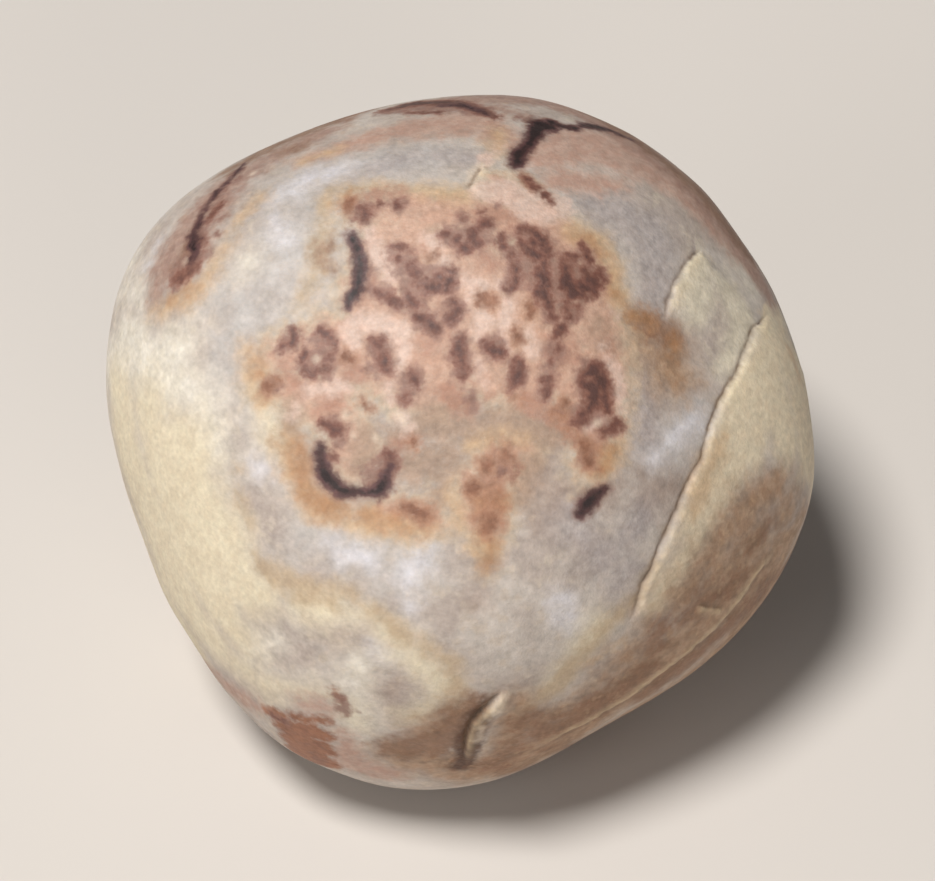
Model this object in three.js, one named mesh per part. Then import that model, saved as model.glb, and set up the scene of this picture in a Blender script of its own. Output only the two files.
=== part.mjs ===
// A rough jasper pebble: one solid stone, about 5 cm across, worn smooth, with low flake ledges.
//
// Millimetres, +Z up. The origin is on the surface that the stone rests on, under the middle of
// its box. The form is worked out about a point inside the stone, in the axes of its broad face:
// u runs to the right, v up across the face, and w out of the face, which looks up and forward.

import * as THREE from "three";
import { mergeVertices } from "three/addons/utils/BufferGeometryUtils.js";

// The point that the form is worked out about, in the part's own frame.
const CENTRE = new THREE.Vector3(0.05, 0.5, 18.58);
const FACE_RISE = 50; // degrees, how far the way out of the broad face rises above level

// The outline, looking straight at the broad face: a mean radius, and lobes added to it, each with
// its number of bumps round the outline, its height and the way that one bump points, in degrees.
const MEAN_RADIUS = 24.6;
const LOBES = [
  { bumps: 1, height: 0.5, toward: 135 },
  { bumps: 2, height: 0.25, toward: 0 },
  { bumps: 3, height: 0.7, toward: 18 },
  { bumps: 4, height: 0.8, toward: -21 },
  { bumps: 6, height: 0.2, toward: 28 },
];
const FRONT_DEPTH = 20.5; // from the centre out to the front of the unworn lump
const BACK_DEPTH = 22;
const FULLNESS = 2.15; // 2 is an ellipsoid, and more is squarer

// The sides that wear has flattened: the way each one faces, as u, v, w, and its distance.
const WORN_SIDES = [
  { faces: [-0.1, 0.14, 1], distance: 19.3 }, // the broad face
  { faces: [0.64, -0.46, 0.66], distance: 21.5 }, // the bevel at the lower right
  { faces: [-0.7, -0.35, 0.62], distance: 23.2 }, // the left flank
  { faces: [-0.05, -0.8, 0.6], distance: 23.4 }, // the front flank
  { faces: [0.1, 0.8, 0.6], distance: 23.4 }, // the top flank
  { faces: [0.52, 0.16, 0.84], distance: 21.1 }, // the broad face's right side, past the long ledge
  { faces: [0.75, 0.4, 0.55], distance: 23.4 }, // the right shoulder
  { faces: [-0.75, 0.45, -0.6], distance: 22.6 }, // the back, on the left
  { faces: [0.7, 0.3, -0.75], distance: 21.8 }, // the back, on the right
  { faces: [0, 0.8, -0.65], distance: 22.2 }, // the back, at the top
];
const UNDERSIDE_DISTANCE = 18.9; // from the centre straight down
const EDGE_SHARPNESS = 13; // how crisply the worn sides meet

// Low swells that keep the worn surface from being perfectly even.
const SWELLS = [
  { height: 0.06, length: 15, along: [0.8, 0.5, -0.3], phase: 0.4 },
  { height: 0.05, length: 11, along: [-0.4, 0.9, 0.2], phase: 2.1 },
  { height: 0.04, length: 8.5, along: [0.3, -0.2, 0.9], phase: 4.0 },
  { height: 0.03, length: 6.5, along: [0.7, -0.7, 0.2], phase: 1.2 },
];

// The ledges. Each one steps up to the left of a line of u, v points along its foot, over `width`,
// and falls away again over `reach` past the step. A groove of that depth runs along the foot.
// A ledge fades in over `fadeIn` at the start of its line and out over `fadeOut` at the end.
const LEDGES = {
  longLedge: {
    line: [
      [21.4, 8.8],
      [19.8, 7.4],
      [19.2, 6],
      [18.3, 4.2],
      [17.3, 2.4],
      [16.5, 0.5],
      [16.1, -1.3],
      [15.1, -3.1],
      [14.1, -5.3],
      [13.1, -7.6],
      [12, -9.8],
      [11.4, -12],
      [10.7, -13.1],
    ],
    rise: 0.26,
    width: 0.55,
    reach: 9,
    groove: 0.1,
    fadeIn: 1.5,
    fadeOut: 3.5,
  },
  shortLedge: {
    line: [
      [16.4, 12.9],
      [15.2, 11.9],
      [14.4, 10.4],
      [13.9, 9.1],
      [13.8, 8.3],
      [13.5, 7.4],
    ],
    rise: 0.22,
    width: 0.5,
    reach: 4,
    groove: 0.08,
    fadeIn: 0.7,
    fadeOut: 2,
  },
  bottomCrevice: {
    line: [
      [2.7, -16.8],
      [1.8, -17.8],
      [0.6, -19.1],
      [0.3, -20],
      [0, -22.4],
    ],
    rise: 0.35,
    width: 0.5,
    reach: 0.7,
    groove: 0.3,
    fadeIn: 0.8,
    fadeOut: 2,
  },
  nickByTopEdge: {
    line: [
      [1.4, 18.4],
      [0.8, 17.2],
      [0.3, 16.6],
    ],
    rise: 0.12,
    width: 0.4,
    reach: 0.8,
    groove: 0.15,
    fadeIn: 0.5,
    fadeOut: 0.5,
  },
  creaseInsideLowerRightEdge: {
    line: [
      [4.7, -21.4],
      [7.4, -20.2],
      [10.2, -18.8],
      [12.2, -17.4],
      [13.9, -16.1],
      [17.4, -13.1],
      [18.8, -11.4],
      [20.3, -9.4],
      [22.2, -7],
    ],
    rise: 0.14,
    width: 0.5,
    reach: 0.7,
    groove: 0.02,
    fadeIn: 3,
    fadeOut: 3,
  },
  scarAboveCrease: {
    line: [
      [17.8, -11.6],
      [16.7, -11.3],
      [15.6, -11.1],
    ],
    rise: 0.12,
    width: 0.3,
    reach: 0.6,
    groove: 0.05,
    fadeIn: 0.5,
    fadeOut: 0.5,
  },
};
const GROOVE_WIDTH = 0.22; // how fast a groove ends on the lower side of its step
const FRONT_ONLY = 3; // the ledges fade out over this depth in front of the outline

// The facets.
const COARSE_DETAIL = 15; // cuts along each edge of the starting icosahedron
const FINE_EDGE = 0.5; // the longest edge at a step
const EDGE_GROWTH = 0.8; // how much longer an edge may be for each millimetre away from a step
const REFINING_ROUNDS = 4;

// ---- the smooth form --------------------------------------------------------------------------

const radians = THREE.MathUtils.degToRad;
const smooth = THREE.MathUtils.smoothstep;

// The profile of a step, from 0 at its foot, where it is steep, to 1 at its worn top.
function wornStep(part) {
  return 1 - (1 - THREE.MathUtils.clamp(part, 0, 1)) ** 3;
}

const axisV = new THREE.Vector3(0, Math.sin(radians(FACE_RISE)), Math.cos(radians(FACE_RISE)));
const axisW = new THREE.Vector3(0, -Math.cos(radians(FACE_RISE)), Math.sin(radians(FACE_RISE)));
const down = new THREE.Vector3(0, -axisV.z, -axisW.z);
const sides = [
  ...WORN_SIDES.map((side) => ({
    faces: new THREE.Vector3(...side.faces).normalize(),
    distance: side.distance,
  })),
  { faces: down, distance: UNDERSIDE_DISTANCE },
];

function outlineRadius(angle) {
  let radius = MEAN_RADIUS;
  for (const lobe of LOBES) {
    radius += lobe.height * Math.cos(lobe.bumps * (angle - radians(lobe.toward)));
  }
  return radius;
}

// How far out a point lies: 1 on the worn surface, less inside it, in proportion to the distance.
function gauge(point) {
  const across = Math.hypot(point.x, point.y) / outlineRadius(Math.atan2(point.y, point.x));
  const deep = Math.abs(point.z) / (point.z > 0 ? FRONT_DEPTH : BACK_DEPTH);
  const lump = across ** FULLNESS + deep ** FULLNESS;
  let total = lump ** (EDGE_SHARPNESS / FULLNESS);
  for (const side of sides) {
    total += Math.max(0, point.dot(side.faces) / side.distance) ** EDGE_SHARPNESS;
  }
  return total ** (1 / EDGE_SHARPNESS);
}

function wornPoint(direction) {
  return direction.clone().divideScalar(gauge(direction));
}

// ---- ledges and swells ------------------------------------------------------------------------

// Where a point lies beside a line: its distance from it, more than 0 on the left, how far along
// the line its nearest point is, and how far that is from the line's other end.
function besideLine(line, u, v) {
  let nearest = Infinity;
  let signed = 0;
  let along = 0;
  let length = 0;
  for (let i = 0; i + 1 < line.length; i += 1) {
    const [u0, v0] = line[i];
    const du = line[i + 1][0] - u0;
    const dv = line[i + 1][1] - v0;
    const run = Math.hypot(du, dv);
    const part = THREE.MathUtils.clamp(((u - u0) * du + (v - v0) * dv) / run ** 2, 0, 1);
    const distance = Math.hypot(u - u0 - part * du, v - v0 - part * dv);
    if (distance < nearest) {
      nearest = distance;
      signed = (v - v0) * du - (u - u0) * dv < 0 ? -distance : distance;
      along = length + part * run;
    }
    length += run;
  }
  return { signed, along, left: length - along };
}

function ledgeHeight(ledge, point) {
  const { signed, along, left } = besideLine(ledge.line, point.x, point.y);
  const step = wornStep(signed / ledge.width);
  const beyond = Math.max(0, signed - ledge.width) / ledge.reach;
  const before = Math.max(0, -signed) / GROOVE_WIDTH;
  const raised = (ledge.rise * step) / (1 + beyond ** 2);
  const sunk = ledge.groove * (1 - step) * Math.exp(-before);
  const ends = smooth(along, 0, ledge.fadeIn) * smooth(left, 0, ledge.fadeOut);
  return (raised - sunk) * ends * smooth(point.z, 0, FRONT_ONLY);
}

function swellHeight(point) {
  let height = 0;
  for (const swell of SWELLS) {
    const along = new THREE.Vector3(...swell.along).normalize().dot(point);
    height += swell.height * Math.sin((2 * Math.PI * along) / swell.length + swell.phase);
  }
  return height;
}

function surfacePoint(direction) {
  const point = wornPoint(direction);
  let height = swellHeight(point);
  for (const ledge of Object.values(LEDGES)) {
    height += ledgeHeight(ledge, point);
  }
  return point.addScaledVector(direction, height);
}

// ---- facets -----------------------------------------------------------------------------------

// The longest edge wanted at a point: short at the steps, and longer away from them.
function wantedEdge(point) {
  let nearest = Infinity;
  for (const ledge of point.z > 0 ? Object.values(LEDGES) : []) {
    nearest = Math.min(nearest, Math.abs(besideLine(ledge.line, point.x, point.y).signed));
  }
  return FINE_EDGE + EDGE_GROWTH * Math.max(0, nearest - FINE_EDGE);
}

// Cuts a triangle at the middles of its edges that have one, and -1 stands for none.
function cutTriangle([a, b, c], [ab, bc, ca]) {
  const cuts = [ab, bc, ca].filter((middle) => middle >= 0).length;
  if (cuts === 0) {
    return [[a, b, c]];
  }
  if (cuts === 3) {
    return [
      [a, ab, ca],
      [ab, b, bc],
      [ca, bc, c],
      [ab, bc, ca],
    ];
  }
  if (ab < 0 || (cuts === 2 && bc < 0)) {
    return cutTriangle([b, c, a], [bc, ca, ab]);
  }
  if (cuts === 1) {
    return [
      [a, ab, c],
      [ab, b, c],
    ];
  }
  return [
    [ab, b, bc],
    [a, ab, bc],
    [a, bc, c],
  ];
}

// Cuts every edge that is longer than it should be once, so that neighbours still share edges.
function refineOnce(directions, triangles) {
  const points = directions.map(wornPoint);
  const middles = new Map();
  function middleOf(a, b) {
    const edge = a < b ? `${a} ${b}` : `${b} ${a}`;
    if (!middles.has(edge)) {
      const centre = points[a].clone().add(points[b]).multiplyScalar(0.5);
      const long = points[a].distanceTo(points[b]) > wantedEdge(centre);
      middles.set(edge, long ? directions.length : -1);
      if (long) {
        directions.push(directions[a].clone().add(directions[b]).normalize());
      }
    }
    return middles.get(edge);
  }
  return triangles.flatMap(([a, b, c]) =>
    cutTriangle([a, b, c], [middleOf(a, b), middleOf(b, c), middleOf(c, a)]),
  );
}

// Evenly spread directions, with more of them where a step needs short edges.
function sphereOfDirections() {
  const sphere = new THREE.IcosahedronGeometry(1, COARSE_DETAIL);
  sphere.deleteAttribute("normal");
  sphere.deleteAttribute("uv");
  const merged = mergeVertices(sphere, 1e-5);
  const position = merged.getAttribute("position");
  const directions = [];
  for (let i = 0; i < position.count; i += 1) {
    directions.push(new THREE.Vector3().fromBufferAttribute(position, i).normalize());
  }
  let triangles = [];
  for (let i = 0; i < merged.index.count; i += 3) {
    triangles.push([merged.index.getX(i), merged.index.getX(i + 1), merged.index.getX(i + 2)]);
  }
  for (let round = 0; round < REFINING_ROUNDS; round += 1) {
    triangles = refineOnce(directions, triangles);
  }
  return { directions, triangles };
}

// ---- the stone --------------------------------------------------------------------------------

// From face axes to the part's own frame. What would reach below the surface is worn off flat.
function inPartFrame(point) {
  const placed = CENTRE.clone();
  placed.x += point.x;
  placed.addScaledVector(axisV, point.y).addScaledVector(axisW, point.z);
  placed.z = Math.max(0, placed.z);
  return placed;
}

function stoneGeometry() {
  const { directions, triangles } = sphereOfDirections();
  const corners = directions.map((direction) => inPartFrame(surfacePoint(direction)));
  const geometry = new THREE.BufferGeometry().setFromPoints(corners);
  geometry.setIndex(triangles.flat());
  geometry.computeVertexNormals();
  return geometry;
}

const jasper = new THREE.MeshStandardMaterial({
  name: "jasper",
  color: 0xb9a994,
  roughness: 0.6,
  metalness: 0,
});

const stone = new THREE.Mesh(stoneGeometry(), jasper);
stone.name = "jasper_stone";

const roughJasper = new THREE.Group();
roughJasper.name = "rough_jasper";
roughJasper.add(stone);

export default roughJasper;
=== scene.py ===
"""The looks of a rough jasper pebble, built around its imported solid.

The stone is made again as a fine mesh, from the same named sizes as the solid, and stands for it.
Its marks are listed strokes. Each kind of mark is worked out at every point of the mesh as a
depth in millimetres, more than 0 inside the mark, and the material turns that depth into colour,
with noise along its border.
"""
import math
from collections import namedtuple

import bmesh
import bpy
import numpy as np
from mathutils import Matrix, Vector, noise


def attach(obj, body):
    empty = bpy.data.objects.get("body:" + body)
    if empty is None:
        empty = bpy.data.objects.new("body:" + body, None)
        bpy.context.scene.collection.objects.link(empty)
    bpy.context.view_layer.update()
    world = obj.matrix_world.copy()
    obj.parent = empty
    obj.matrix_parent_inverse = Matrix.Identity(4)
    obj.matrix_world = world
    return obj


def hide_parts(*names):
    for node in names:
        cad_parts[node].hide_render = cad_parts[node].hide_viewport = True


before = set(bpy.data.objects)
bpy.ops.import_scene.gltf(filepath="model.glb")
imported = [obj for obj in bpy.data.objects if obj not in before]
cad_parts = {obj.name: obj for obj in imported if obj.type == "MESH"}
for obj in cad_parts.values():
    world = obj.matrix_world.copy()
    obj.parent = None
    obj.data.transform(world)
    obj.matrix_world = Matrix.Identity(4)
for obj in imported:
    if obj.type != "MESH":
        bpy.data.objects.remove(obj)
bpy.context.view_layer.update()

MM = 0.001
NODE = "jasper_stone"

# ---- the stone's form, in millimetres, the same as the solid's ----

CENTRE = np.array((0.05, 0.5, 18.58))  # the point that the form is worked out about
FACE_RISE = math.radians(50)  # how far the way out of the broad face rises above level
# Rows: u to the right, v up across the broad face and w out of it, in the frame's axes.
AXES = np.array((
    (1, 0, 0),
    (0, math.sin(FACE_RISE), math.cos(FACE_RISE)),
    (0, -math.cos(FACE_RISE), math.sin(FACE_RISE)),
))
MEAN_RADIUS = 24.6
# The outline's lobes: bumps round it, height, and the way that one bump points in degrees.
LOBES = ((1, 0.5, 135), (2, 0.25, 0), (3, 0.7, 18), (4, 0.8, -21), (6, 0.2, 28))
FRONT_DEPTH = 20.5
BACK_DEPTH = 22.0
FULLNESS = 2.15
# The sides that wear has flattened: the way each one faces, as u, v, w, and its distance.
WORN_SIDES = (
    ((-0.1, 0.14, 1), 19.3),  # the broad face
    ((0.64, -0.46, 0.66), 21.5),  # the bevel at the lower right
    ((-0.7, -0.35, 0.62), 23.2),  # the left flank
    ((-0.05, -0.8, 0.6), 23.4),  # the front flank
    ((0.1, 0.8, 0.6), 23.4),  # the top flank
    ((0.52, 0.16, 0.84), 21.1),  # the broad face's right side, beyond the long ledge
    ((0.75, 0.4, 0.55), 23.4),  # the right shoulder
    ((-0.75, 0.45, -0.6), 22.6),  # the back, on the left
    ((0.7, 0.3, -0.75), 21.8),  # the back, on the right
    ((0, 0.8, -0.65), 22.2),  # the back, at the top
    (tuple(-AXES[:, 2]), 18.9),  # the underside
)
EDGE_SHARPNESS = 13
# Low swells: height, length, the way they run and phase.
SWELLS = (
    (0.06, 15.0, (0.8, 0.5, -0.3), 0.4),
    (0.05, 11.0, (-0.4, 0.9, 0.2), 2.1),
    (0.04, 8.5, (0.3, -0.2, 0.9), 4.0),
    (0.03, 6.5, (0.7, -0.7, 0.2), 1.2),
)
FRONT_ONLY = 3.0  # the ledges fade in over this depth in front of the outline

# A ledge is a step in the surface that rises to the left of the line of u, v points along its foot.
# Its lip says how pale the step and beyond are painted, as a worn edge and a painted highlight, how far,
# and how dark the painted shade at its foot is.
Ledge = namedtuple("Ledge", "rise width reach groove fade_in fade_out lip line")
GROOVE_WIDTH = 0.22  # how fast the groove at a step's foot ends on the lower side
LEDGES = {
    "long ledge": Ledge(0.26, 0.55, 9, 0.1, 1.5, 3.5, (0.35, 0.8, 1.0), (
        (21.4, 8.8), (19.8, 7.4), (19.2, 6), (18.3, 4.2), (17.3, 2.4), (16.5, 0.5), (16.1, -1.3),
        (15.1, -3.1), (14.1, -5.3), (13.1, -7.6), (12, -9.8), (11.4, -12), (10.7, -13.1),
    )),
    "short ledge": Ledge(0.22, 0.5, 4, 0.08, 0.7, 2, (0.45, 0.8, 0.8), (
        (16.4, 12.9), (15.2, 11.9), (14.4, 10.4), (13.9, 9.1), (13.8, 8.3), (13.5, 7.4),
    )),
    "bottom crevice": Ledge(0.35, 0.5, 0.7, 0.3, 0.8, 2, (0.4, 0.4, 1.0), (
        (2.7, -16.8), (1.8, -17.8), (0.6, -19.1), (0.3, -20), (0, -22.4),
    )),
    "nick by the top edge": Ledge(0.12, 0.4, 0.8, 0.15, 0.5, 0.5, (0.3, 0.4, 1.0), (
        (1.4, 18.4), (0.8, 17.2), (0.3, 16.6),
    )),
    "crease inside the lower right edge": Ledge(0.14, 0.5, 0.7, 0.02, 3, 3, (0.5, 0.22, 0.6), (
        (4.7, -21.4), (7.4, -20.2), (10.2, -18.8), (12.2, -17.4), (13.9, -16.1), (17.4, -13.1),
        (18.8, -11.4), (20.3, -9.4), (22.2, -7),
    )),
    "short scar above the crease": Ledge(0.12, 0.3, 0.6, 0.05, 0.5, 0.5, (0.5, 0.4, 0.8), (
        (17.8, -11.6), (16.7, -11.3), (15.6, -11.1),
    )),
}


def worn_step(part):
    """The profile of a step from 0 at its foot, where it is steep, to 1 at its worn top."""
    return 1 - (1 - np.clip(part, 0, 1)) ** 3


def lengths(vectors):
    return np.linalg.norm(vectors, axis=1)


def smooth(value, low, high):
    part = np.clip((value - low) / (high - low), 0, 1)
    return part * part * (3 - 2 * part)


def outline_radius(angle):
    radius = np.full_like(angle, MEAN_RADIUS)
    for bumps, height, toward in LOBES:
        radius += height * np.cos(bumps * (angle - math.radians(toward)))
    return radius


def gauge(points):
    """How far out each point lies: 1 on the worn surface, in proportion to the distance."""
    u, v, w = points.T
    across = np.hypot(u, v) / outline_radius(np.arctan2(v, u))
    deep = np.abs(w) / np.where(w > 0, FRONT_DEPTH, BACK_DEPTH)
    total = (across**FULLNESS + deep**FULLNESS) ** (EDGE_SHARPNESS / FULLNESS)
    for faces, distance in WORN_SIDES:
        way = np.array(faces) / np.linalg.norm(faces)
        total += np.maximum(0, points @ way / distance) ** EDGE_SHARPNESS
    return total ** (1 / EDGE_SHARPNESS)


def worn_points(directions):
    return directions / gauge(directions)[:, None]


def beside_line(line, points):
    """Distance from a line of u, v points, more than 0 on its left, and the ways to its two ends."""
    line = np.array(line, float)
    spot = points[:, :2]
    nearest = np.full(len(points), np.inf)
    signed = np.zeros(len(points))
    along = np.zeros(len(points))
    length = 0.0
    for start, end in zip(line[:-1], line[1:]):
        way = end - start
        run = np.linalg.norm(way)
        off = spot - start
        part = np.clip(off @ way / run**2, 0, 1)
        distance = lengths(off - part[:, None] * way)
        side = np.where(off[:, 1] * way[0] - off[:, 0] * way[1] < 0, -1, 1)
        closer = distance < nearest
        nearest = np.where(closer, distance, nearest)
        signed = np.where(closer, side * distance, signed)
        along = np.where(closer, length + part * run, along)
        length += run
    return signed, along, length - along


def ledge_place(ledge, points, jitter):
    """Signed distance from the step, and how much of it is left there, from 0 to 1."""
    signed, along, left = beside_line(ledge.line, points)
    signed = signed + jitter
    ends = smooth(along, 0, ledge.fade_in) * smooth(left, 0, ledge.fade_out)
    return signed, ends * smooth(points[:, 2], 0, FRONT_ONLY)


def ledge_height(ledge, signed, share):
    step = worn_step(signed / ledge.width)
    beyond = np.maximum(0, signed - ledge.width) / ledge.reach
    before = np.maximum(0, -signed) / GROOVE_WIDTH
    height = ledge.rise * step / (1 + beyond**2) - ledge.groove * (1 - step) * np.exp(-before)
    return height * share


def swell_height(points):
    height = np.zeros(len(points))
    for tall, length, along, phase in SWELLS:
        way = np.array(along) / np.linalg.norm(along)
        height += tall * np.sin(2 * math.pi * (points @ way) / length + phase)
    return height


# ---- fine relief, only on the fine mesh, and always inwards ----

GRAIN = ((0.035, 2.6), (0.02, 1.1), (0.012, 0.5))  # depth and size of each roughness
INSET = 0.015  # keeps the fine mesh inside the solid's box
JITTER = ((0.16, 1.3), (0.07, 0.45))  # how far, and over what length, the ledges' lines waver


def rough_values(points, size):
    return np.array([noise.noise(Vector(p)) for p in points / size])


def grain_depth(points):
    depth = np.full(len(points), INSET)
    for deep, size in GRAIN:
        depth += deep * (0.5 + 0.5 * rough_values(points, size))
    return depth


# ---- the fine mesh ----

BALL_CUTS = 7  # Blender's count of the ball's subdivisions, for edges of about 0.45 mm
REFINING_ROUNDS = 3
STEP_EDGE = 0.11  # edges longer than this are cut at the steps
STEP_BAND = 0.5  # how far from a step it holds
EDGE_GROWTH = 0.35  # how fast it grows farther out
SPOTTED_EDGE = 0.26  # edges longer than this are cut in the spotted field
SPOTTED_FIELD = np.array((-2.0, 4.0))  # its middle, as u and v
SPOTTED_REACH = 14.5


def wanted_edge(points):
    nearest = np.full(len(points), np.inf)
    for ledge in LEDGES.values():
        signed = beside_line(ledge.line, points)[0]
        nearest = np.minimum(nearest, np.abs(signed))
    edge = STEP_EDGE + EDGE_GROWTH * np.maximum(0, nearest - STEP_BAND)
    spotted = lengths(points[:, :2] - SPOTTED_FIELD) < SPOTTED_REACH
    edge[spotted] = np.minimum(edge[spotted], SPOTTED_EDGE)
    edge[points[:, 2] < 0] = np.inf
    return edge


def refine_once(directions, triangles):
    """Cuts every edge that is too long in half, so that neighbours still share edges."""
    pairs = np.concatenate([triangles[:, (0, 1)], triangles[:, (1, 2)], triangles[:, (2, 0)]])
    edges, which = np.unique(np.sort(pairs, axis=1), axis=0, return_inverse=True)
    ends = worn_points(directions)[edges]
    long = lengths(ends[:, 0] - ends[:, 1]) > wanted_edge(ends.mean(axis=1))
    middle = np.full(len(edges), -1)
    middle[long] = len(directions) + np.arange(long.sum())
    added = directions[edges[long]].sum(axis=1)
    added /= lengths(added)[:, None]
    cuts = middle[which.ravel()].reshape(3, -1).T
    return np.concatenate([directions, added]), cut_triangles(triangles, cuts)


def cut_triangles(triangles, cuts):
    """Cuts each triangle at the middles of its sides that have one, and -1 stands for none."""
    has = cuts >= 0
    count = has.sum(axis=1)
    # Each triangle is turned so that its first side is cut, and its last is whole if two are cut.
    first = np.where(count == 1, has.argmax(axis=1), 0)
    first = np.where(count == 2, (has.argmin(axis=1) + 1) % 3, first)
    order = (first[:, None] + np.arange(3)) % 3
    corners = np.take_along_axis(triangles, order, axis=1)
    cuts = np.take_along_axis(cuts, order, axis=1)
    table = np.concatenate([corners, cuts], axis=1)  # columns a, b, c, ab, bc, ca
    a, b, c, ab, bc, ca = range(6)
    patterns = {
        0: ((a, b, c),),
        1: ((a, ab, c), (ab, b, c)),
        2: ((ab, b, bc), (a, ab, bc), (a, bc, c)),
        3: ((a, ab, ca), (ab, b, bc), (ca, bc, c), (ab, bc, ca)),
    }
    made = [table[count == n][:, p] for n, pieces in patterns.items() for p in pieces]
    return np.concatenate(made)


def ball():
    shape = bmesh.new()
    bmesh.ops.create_icosphere(shape, subdivisions=BALL_CUTS, radius=1)
    directions = np.array([v.co for v in shape.verts], float)
    triangles = np.array([[v.index for v in f.verts] for f in shape.faces])
    shape.free()
    directions /= lengths(directions)[:, None]
    for _ in range(REFINING_ROUNDS):
        directions, triangles = refine_once(directions, triangles)
    return directions, triangles


def in_frame(points):
    """From face axes in millimetres to the frame in metres, flat where the stone rests."""
    placed = CENTRE + points @ AXES
    placed[:, 2] = np.maximum(placed[:, 2], 0)
    return placed * MM


# ---- marks ----

# Marks are placed in pixels of a picture of the stone, as seen by the camera, and each point also has
# the radius of the mark there in millimetres. Each kind of mark is a row of strokes, and a stroke is a
# row of points, or one point alone.
PICTURE = (935, 881)
MIDDLE_PIXEL = (462, 438)  # where CENTRE shows
PIXELS_PER_MM = 14.2  # at CENTRE
EYE_DISTANCE = 250.0  # from CENTRE to the camera

MARKS = {}
# Pale bluish grey chalcedony, broad and soft; its broad patches at the upper left and on the right are also
# a painted sheen.
MARKS["lavender_and_sheen"] = (
    ((290, 185, 2), (300, 220, 2.4), (285, 262, 2), (255, 300, 2), (232, 345, 2)),
    ((330, 172, 1.4), (380, 162, 1.5), (430, 158, 1.4)),
    ((655, 480, 1.4), (668, 445, 2.2), (692, 420, 1.4), (700, 392, 0.9)),
    ((300, 545, 1.2), (345, 560, 1.6), (395, 575, 1.6), (430, 560, 1.2)),
)
# Brownish grey round the spotted field and by the top edge.
MARKS["taupe"] = (
    ((540, 455, 1.4), (545, 485, 1.8), (565, 505, 1.8), (540, 520, 1.2)),
    ((560, 535, 0.9), (585, 545, 0.8)), ((610, 500, 0.8), (620, 480, 0.9)),
    ((640, 360, 1), (650, 395, 1.3), (625, 430, 1.2), (620, 455, 1)), ((690, 330, 0.6), (680, 345, 0.8)),
    ((648, 500, 1.4), (672, 488, 1.2)), (345, 650, 0.4), ((385, 705, 1), (390, 690, 0.8)), (478, 600, 0.4),
    (642, 472, 0.9), ((638, 378, 1.1), (665, 384, 0.8)),
)
# Warm white at the left edge and in patches.
MARKS["ivory"] = (
    ((98, 330, 2.2), (110, 370, 2.2), (132, 345, 2.4), (150, 372, 2.2), (178, 350, 1.6)),
    ((160, 385, 1.8), (186, 382, 1.6), (205, 410, 1.4), (215, 450, 1.2)),
    ((132, 262, 1), (118, 290, 1.6), (140, 300, 0.8)), ((250, 650, 0.9), (275, 640, 0.6)), (246, 262, 0.6),
    ((360, 665, 0.8), (358, 700, 1), (354, 735, 0.8)), ((738, 255, 0.9), (752, 285, 0.9)),
)
# The palest, frosty grey, which in the lavender patches is also a painted sheen.
MARKS["frost_and_sheen"] = (
    ((292, 190, 0.8), (316, 176, 1.1), (345, 168, 0.6)), ((268, 205, 0.35), (284, 236, 0.4)),
    ((343, 163, 0.2), (356, 170, 0.25)), ((160, 240, 0.3), (150, 262, 0.3)),
    ((655, 455, 0.4), (668, 443, 0.7), (688, 426, 0.7), (700, 415, 0.4)),
    ((425, 553, 0.5), (405, 580, 0.5)), ((340, 552, 0.8), (372, 562, 0.6)),
    ((560, 600, 0.7), (575, 625, 0.5)), (410, 605, 0.6), (395, 330, 0.4), (262, 470, 0.6), (372, 652, 0.5),
)
MARKS["slate"] = (
    ((585, 200, 1.2), (625, 215, 2), (655, 245, 2.2), (660, 290, 1.4)),
    ((575, 530, 1.4), (605, 560, 1.4), (640, 520, 1)), ((375, 168, 0.9), (420, 158, 1.2), (465, 158, 0.9)),
    ((640, 400, 1), (640, 430, 1.2)), ((622, 575, 0.8), (640, 570, 0.6)),
)
# Pale yellowish cream on the left flank.
MARKS["cream"] = (
    ((85, 400, 3), (100, 450, 3.4), (120, 520, 3.6), (150, 590, 3.6), (190, 640, 2.6)),
    ((120, 405, 2.6), (130, 460, 3.2), (152, 530, 3.4), (182, 595, 3.2), (212, 640, 2.4)),
    ((150, 420, 2.6), (166, 480, 3.2), (190, 545, 3.2), (215, 600, 2.8), (240, 640, 1.6)),
    ((180, 450, 3), (208, 530, 3.4), (240, 585, 2.4), (265, 595, 1.4)),
    ((300, 608, 1), (338, 612, 0.8), (372, 618, 0.6), (400, 640, 0.5), (425, 665, 0.5), (444, 682, 0.5),
     (434, 702, 0.5), (413, 716, 0.4)), ((262, 400, 0.5), (275, 430, 0.6)),
    ((225, 655, 1.6), (245, 672, 1)),
    ((262, 688, 0.6), (290, 690, 0.5), (318, 690, 0.4), (345, 702, 0.4), (353, 722, 0.5)),
    ((600, 628, 0.9), (575, 655, 0.7), (555, 685, 0.6)),
)
# Sandy yellow veins and clouds.
MARKS["sand"] = (
    ((260, 566, 0.6), (276, 577, 0.9), (296, 584, 0.9), (320, 590, 0.9), (352, 592, 0.7)),
    ((352, 600, 0.4), (386, 620, 0.7), (404, 640, 0.6)), ((300, 598, 0.8), (330, 602, 0.6)),
    ((240, 500, 0.4), (248, 520, 0.4)), (235, 470, 0.3),
    ((430, 648, 0.6), (452, 664, 0.7), (456, 690, 0.8), (462, 708, 0.7)),
    ((655, 565, 0.4), (640, 595, 0.6), (612, 622, 0.6), (580, 660, 0.8), (550, 690, 1), (520, 712, 0.8)),
    ((325, 200, 0.5), (321, 240, 0.6), (315, 270, 0.6), (300, 300, 0.5)),
    ((330, 190, 0.4), (380, 188, 0.4), (430, 195, 0.5), (455, 192, 0.5)),
    ((490, 125, 0.5), (494, 150, 0.6)),
)
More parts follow.
